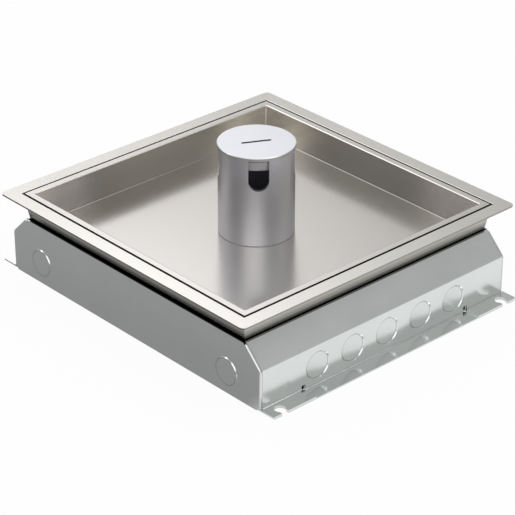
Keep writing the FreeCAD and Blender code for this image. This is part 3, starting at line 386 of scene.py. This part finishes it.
print(lamp_above().name, "of", LAMP_POWER, "W")

# %% [markdown]
# Frame and tray are folded from stainless steel with a fine brushed grain. Brushing leaves long
# scratches that are almost too fine to see: they show as faint streaks and as a soft, wide
# highlight. The streaks are noise that is squeezed across the grain and stretched along it,
# which needs no picture and has no end. The frame is mitred, so its grain turns at each corner
# and follows the member. Its skirt has a painted shade that darkens it towards the lower edge,
# most of all on the two end members. Upright faces carry a painted shade, the tray's walls
# most. The tray is darker towards the bottom, with a painted shade on its lower bends and a
# painted light near its corners.

# %% Brushed stainless steel
GRAIN_ALONG = 40.0
GRAIN_ACROSS = 3800.0
SCRATCH_DEPTH = 0.00001
BRUSHED_SPREAD = 0.13
MITRE_LINE = (-0.00002, 0.00002)
SIDE_WALLS = (0.3, 0.5)
FLAT_TOPS = (0.1, 0.8)
SHADED_END_RAISE = 0.0015
SHADED_END_LOWER = 0.006
SHADED_END_LOSS = 0.85
TRAY_BEND = ((0.1, 0.25), (0.85, 0.97))
TRAY_BEND_HEIGHT = 0.002
TRAY_BEND_SHADE = 0.5

Fade = namedtuple("Fade", "low high left")
Corners = namedtuple("Corners", "near far gain foot")


def brushed_steel(name, base, upright, darker_below, mitred=False, edge=None, corners=None):
    """Long streaks: noise with a coarse scale along the grain and a very fine one across it.

    The grain runs along X, except on the two members of a mitred frame that run along Y, or
    on the walls of a folded sheet that face along X.
    Upright is the share of the tone left on upright faces, the rest being a painted shade.
    Darker_below gives two heights, and the share left at and below the lower one.
    Edge is the sheared edge of the sheet: two heights, and the share left above the second.
    Corners get a painted light: two distances from the middle planes, between which
    the tone of an upright face rises by the gain, and the height of the foot, below which the
    bends keep a band of painted shade.
    """
    look = Finish(name, Metallic=1.0)
    across, behind, height = look.coordinates()
    if mitred:
        other = look.step(across * across - behind * behind, *MITRE_LINE)
    else:
        aside = look.facing(X_AXIS)
        other = look.step(aside * aside, *SIDE_WALLS)
    along_x = look.noise(look.place((GRAIN_ALONG, GRAIN_ACROSS, GRAIN_ACROSS)),
                         scale=1.0, detail=3.0)
    along_y = look.noise(look.place((GRAIN_ACROSS, GRAIN_ALONG, GRAIN_ACROSS)),
                         scale=1.0, detail=3.0)
    streaks = along_x * (1.0 - other) + along_y * other
    cloud = look.noise(look.place(), scale=14.0, detail=3.0)
    tone = look.blend(streaks * 0.6 + cloud * 0.4, shade(base, 0.93), shade(base, 1.05))
    lean = look.facing(Z_AXIS)
    level = look.step(lean, *FLAT_TOPS)
    # Darker below the lower height: on the frame's skirt this is a painted shade towards its lower
    # edge.
    low, high, left = darker_below
    # Painted shade: on the frame's two end members the skirt darkens further and higher up.
    if mitred:
        low = other * SHADED_END_RAISE + low
        high = high - other * SHADED_END_LOWER
        left = left * (1.0 - other * SHADED_END_LOSS)
    # Painted shade on upright faces, which keep only the upright share of the tone.
    share = level * (1.0 - upright) + upright
    share = share * (look.step(height, low, high) * (1.0 - left) + left)
    if edge:
        sheared = (1.0 - level) * look.step(height, edge.low, edge.high)
        share = share * (1.0 - sheared * (1.0 - edge.left))
    if corners:
        nearer = (across * across).at_most(behind * behind)
        # Painted light: upright faces near the corners are brighter by the gain.
        painted_corner_light = look.step(nearer, corners.near ** 2, corners.far ** 2) * (1.0 - level)
        share = share * (painted_corner_light * corners.gain + 1.0)
        # Painted shade on the tray's lower bends.
        low_down = 1.0 - look.step(height, corners.foot, corners.foot + TRAY_BEND_HEIGHT)
        share = share * (1.0 - look.band(lean, *TRAY_BEND) * low_down * TRAY_BEND_SHADE)
    look.feed(Base_Color=look.blend(share, BLACK, tone),
              Roughness=streaks * 0.12 + cloud * 0.06 + BRUSHED_SPREAD,
              Normal=look.relief(streaks, SCRATCH_DEPTH))
    return look


# The frame's skirt gets a painted shade towards its lower edge, and its upright faces a painted
# shade.
paint(brushed_steel("stainless_frame", (0.83, 0.805, 0.735), mitred=True, upright=0.78,
                    darker_below=Fade(low=FRAME_TOP - 0.024, high=FRAME_TOP - 0.007, left=0.30),
                    edge=Fade(low=FRAME_TOP - 0.0022, high=FRAME_TOP - 0.0014, left=0.5)), "frame")
# The tray is darker towards the bottom, its upright walls carry a painted shade, and its corners a
# painted light.
paint(brushed_steel("stainless_tray", (0.785, 0.755, 0.695), upright=0.47,
                    darker_below=Fade(low=FRAME_TOP - 0.017, high=FRAME_TOP - 0.003, left=0.90),
                    corners=Corners(near=0.038, far=0.100, gain=1.15,
                                    foot=FRAME_TOP - 0.017)), "tray")

# %% [markdown]
# The housing is galvanised steel. Its zinc is a cool, slightly green grey with a mottled bloom,
# and rolled sheet is never quite flat, so reflections wander a little. The bends at the foot
# carry a painted shade. The punch that sheared each knock-out left a shallow mark on it, hollow
# on the side walls and swollen on the end plates, with a thin ring of painted shade at its rim.
# Cut into the mesh the mark would need thousands of faces for a fraction of a millimetre, so it
# is a relief in the finish.

# %% Galvanised sheet
SHEET_WAVE = 0.0015
ZINC_DARK = colour(0.655, 0.68, 0.665)
ZINC_PALE = colour(0.76, 0.785, 0.77)
ZINC_SPREAD = 0.12
FOOT_BEND = ((0.05, 0.2), (0.8, 0.95))
FOOT_TOP = (0.0042, 0.0048)
FOOT_BEND_SHADE = 0.30
RIM = ((-0.05, -0.01), (0.08, 0.14))
RIM_SHADE = 0.30

Row = namedtuple("Row", "axis count pitch middle radius depth")
WALL_ROW = Row(axis=X_AXIS, count=5, pitch=0.0379, middle=0.0177, radius=0.0115, depth=0.0003)
END_ROW = Row(axis=Y_AXIS, count=2, pitch=0.2312, middle=0.0195, radius=0.0115, depth=-0.0001)


def inside_mark(look, row, height):
    """1 at the centre of the nearest knock-out of a row, less with the square of the distance.

    It is 0 at the mark's radius. The centres stand one pitch apart, as far to one side of the
    middle plane as to the other, and all at the height middle. The nearest is found by rounding
    the place to whole pitches from the first centre, and no further than the last.
    """
    across = look.along(look.place(), row.axis)
    last = row.pitch * (row.count - 1) / 2.0
    nearest = look.node("ShaderNodeMath", {"operation": "SNAP"},
                        {0: across + last + row.pitch / 2.0, 1: row.pitch}) - last
    beside = across - nearest.at_most(last).at_least(-last)
    above = height - row.middle
    return 1.0 - (beside * beside + above * above) * (1.0 / row.radius ** 2)


def galvanised(name, row=None):
    """Cloudy zinc: large soft blooms, fine grains, and a shallow waviness of the sheet.

    The row gives the knock-outs that carry the punch's mark. Its depth falls with the square
    of the distance from the centre, and where it ends a thin ring of painted shade marks the rim.
    """
    look = Finish(name, Metallic=1.0)
    bloom = look.noise(look.place(), scale=22.0, detail=4.0, roughness=0.6)
    grain = look.noise(look.place(), scale=420.0, detail=3.0, roughness=0.6)
    wave = look.noise(look.place((1.0, 1.0, 1.6)), scale=11.0, detail=1.0) + grain * 0.004
    height = look.along(look.place(), Z_AXIS)
    tone = look.blend(bloom * 0.7 + grain * 0.3, ZINC_DARK, ZINC_PALE)
    if row:
        near = inside_mark(look, row, height)
        wave = wave - near.at_least(0.0) * (row.depth / SHEET_WAVE)
        # Painted shade: a thin dark ring round each knock-out's rim.
        tone = look.blend(look.band(near, *RIM) * RIM_SHADE, tone, BLACK)
    # Painted shade on the bends at the foot.
    low_down = 1.0 - look.step(height, *FOOT_TOP)
    bend = look.band(look.facing(Z_AXIS), *FOOT_BEND) * low_down
    look.feed(Base_Color=look.blend(bend * FOOT_BEND_SHADE, tone, BLACK),
              Roughness=bloom * 0.08 + grain * 0.05 + ZINC_SPREAD,
              Normal=look.relief(wave, SHEET_WAVE))
    return look


CORNERS = ("front_left", "front_right", "rear_left", "rear_right")
paint(galvanised("galvanised_zinc"), "base_plate", "tie_bar_front", "tie_bar_rear",
      "socket_carrier_left", "socket_carrier_right",
      *[f"corner_bracket_{corner}" for corner in CORNERS])
paint(galvanised("galvanised_punched", WALL_ROW), "side_wall_front", "side_wall_rear")
paint(galvanised("galvanised_end", END_ROW), "end_plate_left", "end_plate_right")

# %% [markdown]
# The tube and the sleeve in it are turned and satin finished: the grain runs round the tube,
# which stretches every reflection into upright bands. The lid is a paler plate, with painted
# shade on its edge and in its coin slot.

# %% Satin tube, lid and ring nut
LID_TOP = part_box("lid_plate")[1][2]
RING_DEPTH = 0.000012
ROUND_TOPS = (0.1, 0.9)
SLOT_RIM = 0.9

Hollow = namedtuple("Hollow", "radius low high left")


def satin_round(name, base, spread, grain=2600.0, hollow=None, upright=1.0):
    """Rings round an upright axis: noise that changes with height only, over a slow cloud.

    The hollow is a slot with painted shade in it: a radius round the axis, two heights, and
    the share of the tone that is left at the lower one. Upright is the share left on the side,
    where the rest is painted shade.
    """
    look = Finish(name, Metallic=1.0)
    rings = look.noise(look.place((2.0, 2.0, grain)), scale=1.0, detail=2.0)
    cloud = look.noise(look.place(), scale=30.0, detail=2.0)
    tone = look.blend(rings * 0.6 + cloud * 0.4, shade(base, 0.92), shade(base, 1.06))
    if hollow:
        across, behind, height = look.coordinates()
        reach = hollow.radius ** 2
        outside = look.step(across * across + behind * behind, SLOT_RIM * reach, reach)
        # Painted shade in the coin slot: the tone darkens below the lid's top.
        painted_slot_shade = 1.0 - look.step(height, hollow.low, hollow.high)
        side = 1.0 - look.step(look.facing(Z_AXIS), *ROUND_TOPS)
        tone = look.blend((1.0 - outside) * painted_slot_shade * (1.0 - hollow.left), tone, BLACK)
        # Painted shade on the lid's side, which keeps only the upright share of the tone.
        tone = look.blend(side * outside * (1.0 - upright), tone, BLACK)
    look.feed(Base_Color=tone, Roughness=rings * 0.1 + cloud * 0.05 + spread,
              Normal=look.relief(rings, RING_DEPTH))
    return look


paint(satin_round("satin_tube_wall", (0.62, 0.615, 0.66), spread=0.34), "tube")
paint(satin_round("satin_sleeve", (0.60, 0.595, 0.66), spread=0.28), "lid_sleeve")
paint(satin_round("lid_face", (0.965, 0.98, 1.0), spread=0.25, grain=30.0, upright=0.62,
                  hollow=Hollow(radius=0.0145, low=LID_TOP - 0.0005, high=LID_TOP - 0.0001,
                                left=0.20)), "lid_plate")
paint(satin_round("turned_nut", (0.55, 0.55, 0.56), spread=0.22), "tube_ring_nut")

# %% [markdown]
# Small fittings: bright zinc on the screws and nuts, yellow brass for the earth terminal, light
# grey moulded plastic for the sockets, and black rubber for the seals. Flat colours would do at
# this size, but a faint stain and the mould's texture keep them from looking like wax.


# %% Small fittings
def plated(name, base, spread):
    """Plating with faint stains from handling."""
    look = Finish(name, Metallic=1.0)
    stain = look.noise(look.place(), scale=260.0, detail=3.0)
    look.feed(Base_Color=look.blend(stain, shade(base, 0.86), colour(*base)),
              Roughness=stain * 0.14 + spread)
    return look


def moulded(name, base, spread, bump):
    """Plastic or rubber with the fine texture of its mould."""
    look = Finish(name, Metallic=0.0)
    texture = look.noise(look.place(), scale=1500.0, detail=2.0)
    cloud = look.noise(look.place(), scale=40.0, detail=2.0)
    look.feed(Base_Color=look.blend(cloud, shade(base, 0.94), colour(*base)),
              Roughness=texture * 0.1 + spread, Normal=look.relief(texture, bump))
    return look


SOCKETS = [f"socket_{side}_{place}" for side in ("left", "right")
           for place in ("front", "middle", "rear")]
FINE_MOULD = 0.00002
COARSE_MOULD = 0.00005
bright_zinc = plated("bright_zinc", (0.74, 0.74, 0.71), spread=0.22)
yellow_brass = plated("yellow_brass", (0.78, 0.62, 0.32), spread=0.24)
socket_grey = moulded("socket_grey", (0.82, 0.82, 0.80), spread=0.32, bump=FINE_MOULD)
seal_black = moulded("seal_black", (0.028, 0.028, 0.030), spread=0.55, bump=COARSE_MOULD)
gasket_grey = moulded("gasket_grey", (0.40, 0.40, 0.41), spread=0.50, bump=COARSE_MOULD)
paint(bright_zinc, "carrier_screws", "levelling_nuts", "lid_screws")
paint(yellow_brass, "earth_nuts")
paint(socket_grey, *SOCKETS)
paint(seal_black, "frame_seal", "lid_seal")
paint(gasket_grey, "tube_gasket")

# %% [markdown]
# Threads are too fine for the solid model, so the levelling screws and the earth stud are turned
# here with a real one. Each is a tower of level rings of points. Sweeping a profile along a
# spiral would be the workshop's way, but rings close by themselves and never cross.


# %% Towers of rings
def tower(rings, first):
    """Faces of a closed tower of equal rings. Point numbers count from first, ring after ring."""
    rows, sides = rings.shape[:2]
    number = first + np.arange(rows * sides).reshape(rows, sides)
    beside = np.roll(number, -1, axis=1)
    walls = np.stack([number[:-1], beside[:-1], beside[1:], number[1:]], axis=-1).reshape(-1, 4)
    return walls.tolist() + [number[-1].tolist(), number[0, ::-1].tolist()]


def assembled(name, towers, place, finish):
    """Towers of rings as one mesh at a place on the plan, smooth except for their end caps."""
    faces = []
    count = 0
    for rings in towers:
        faces += tower(rings, count)
        count += rings.shape[0] * rings.shape[1]
    points = np.concatenate([rings.reshape(-1, 3) for rings in towers])
    points = points + np.array([place[0], place[1], 0.0])
    mesh = bpy.data.meshes.new(name)
    mesh.from_pydata(points.tolist(), [], faces)
    mesh.polygons.foreach_set("use_smooth", [len(face) == 4 for face in faces])
    mesh.materials.append(finish.material)
    piece = bpy.data.objects.new(name, mesh)
    bpy.context.scene.collection.objects.link(piece)
    return piece


# %% [markdown]
# A right-hand thread climbs by its pitch in each turn counterclockwise, so its surface is a
# radius that depends only on the height minus the part of a turn already made. The screw's slot
# leaves two round halves of the shank standing, with the same thread on them.

# %% Threaded rings
THREAD_PITCH = 0.001
THREAD_DEPTH = 0.00061
ROWS_A_TURN = 8
SCREW_SIDES = 32


def round_angles():
    return np.linspace(0.0, 2.0 * math.pi, SCREW_SIDES, endpoint=False)


def plain_ring(radius, height):
    """A level circle: radius times cosine and sine of the angle."""
    angle = round_angles()
    return np.stack([radius * np.cos(angle), radius * np.sin(angle),
                     np.full_like(angle, height)], axis=-1)


def threaded_rings(low, high, crest, bevel, angle=None):
    """Level rings whose radius is the thread's, cut back by a bevel at the top.

    The radius is the crest minus the depth times a clipped triangle wave of
    height / pitch - angle / full turn.
    """
    if angle is None:
        angle = round_angles()
    rows = int(round((high - low) / THREAD_PITCH * ROWS_A_TURN)) + 1
    height = np.linspace(low, high, rows)[:, None]
    phase = height / THREAD_PITCH - angle[None, :] / (2.0 * math.pi)
    wave = np.abs(2.0 * (phase - np.floor(phase)) - 1.0)
    radius = crest - THREAD_DEPTH * np.clip(1.25 * wave - 0.125, 0.0, 1.0)
    radius = np.minimum(radius, crest - bevel + np.maximum(high - height, 0.0))
    return np.stack([radius * np.cos(angle), radius * np.sin(angle), height + 0.0 * radius],
                    axis=-1)


def slotted_half(low, high, crest, gap, bevel, turned):
    """One half of the shank beside the slot: a threaded arc closed by the slot's flat wall.

    No point of the arc comes nearer to the middle plane than the gap.
    """
    reach = math.asin(gap / crest)
    angle = np.linspace(reach, math.pi - reach, SCREW_SIDES // 2) + (math.pi if turned else 0.0)
    rings = threaded_rings(low, high, crest, bevel, angle)
    sign = -1.0 if turned else 1.0
    rings[..., 1] = sign * np.maximum(sign * rings[..., 1], gap)
    return rings


# %% [markdown]
# Each levelling screw stands on a swivel pad, twice as wide as the shank, and is turned with a
# screwdriver from above.

# %% Levelling screws
PAD_HEIGHT = 0.002
PAD_BEVEL = 0.0004
SLOT_DEPTH = 0.002
SLOT_HALF_WIDTH = 0.0005
END_BEVEL = 0.0006


def levelling_thread(node):
    """A swivel pad, a threaded shank on it and a screwdriver slot across the shank's end."""
    low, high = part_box(node)
    place = [(a + b) / 2.0 for a, b in zip(low, high)]
    pad_radius = (high[0] - low[0]) / 2.0
    crest = pad_radius / 2.0
    pad_top = low[2] + PAD_HEIGHT
    slot_floor = high[2] - SLOT_DEPTH
    pad = np.stack([plain_ring(pad_radius, low[2]), plain_ring(pad_radius, pad_top - PAD_BEVEL),
                    plain_ring(pad_radius - PAD_BEVEL, pad_top)])
    shank = threaded_rings(pad_top, slot_floor, crest, 0.0)
    halves = [slotted_half(slot_floor, high[2], crest, SLOT_HALF_WIDTH, END_BEVEL, turned)
              for turned in (False, True)]
    piece = assembled(node.replace("screw", "thread"), [pad, shank] + halves, place, bright_zinc)
    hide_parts(node)
    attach(piece, node)
    print(piece.name, len(piece.data.polygons), "faces")


for corner in CORNERS:
    levelling_thread(f"levelling_screw_{corner}")

# %% [markdown]
# The earth stud is welded to the floor pan, and the weld left a small bead round its base.

# %% Earth stud
BEAD = 0.0015
BEAD_ROWS = 5


def earth_thread():
    """The stud of the earth terminal: a quarter-round weld bead and a threaded shank."""
    low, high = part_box("earth_stud")
    place = [(a + b) / 2.0 for a, b in zip(low, high)]
    crest = (high[0] - low[0]) / 2.0 - BEAD
    rise = np.linspace(0.0, 0.5 * math.pi, BEAD_ROWS)
    bead = np.stack([plain_ring(crest + BEAD * math.cos(a), low[2] + BEAD * math.sin(a))
                     for a in rise])
    shank = threaded_rings(low[2] + BEAD, high[2], crest, END_BEVEL)
    piece = assembled("earth_thread", [bead, shank], place, yellow_brass)
    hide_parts("earth_stud")
    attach(piece, "box")
    print(piece.name, len(piece.data.polygons), "faces")


earth_thread()
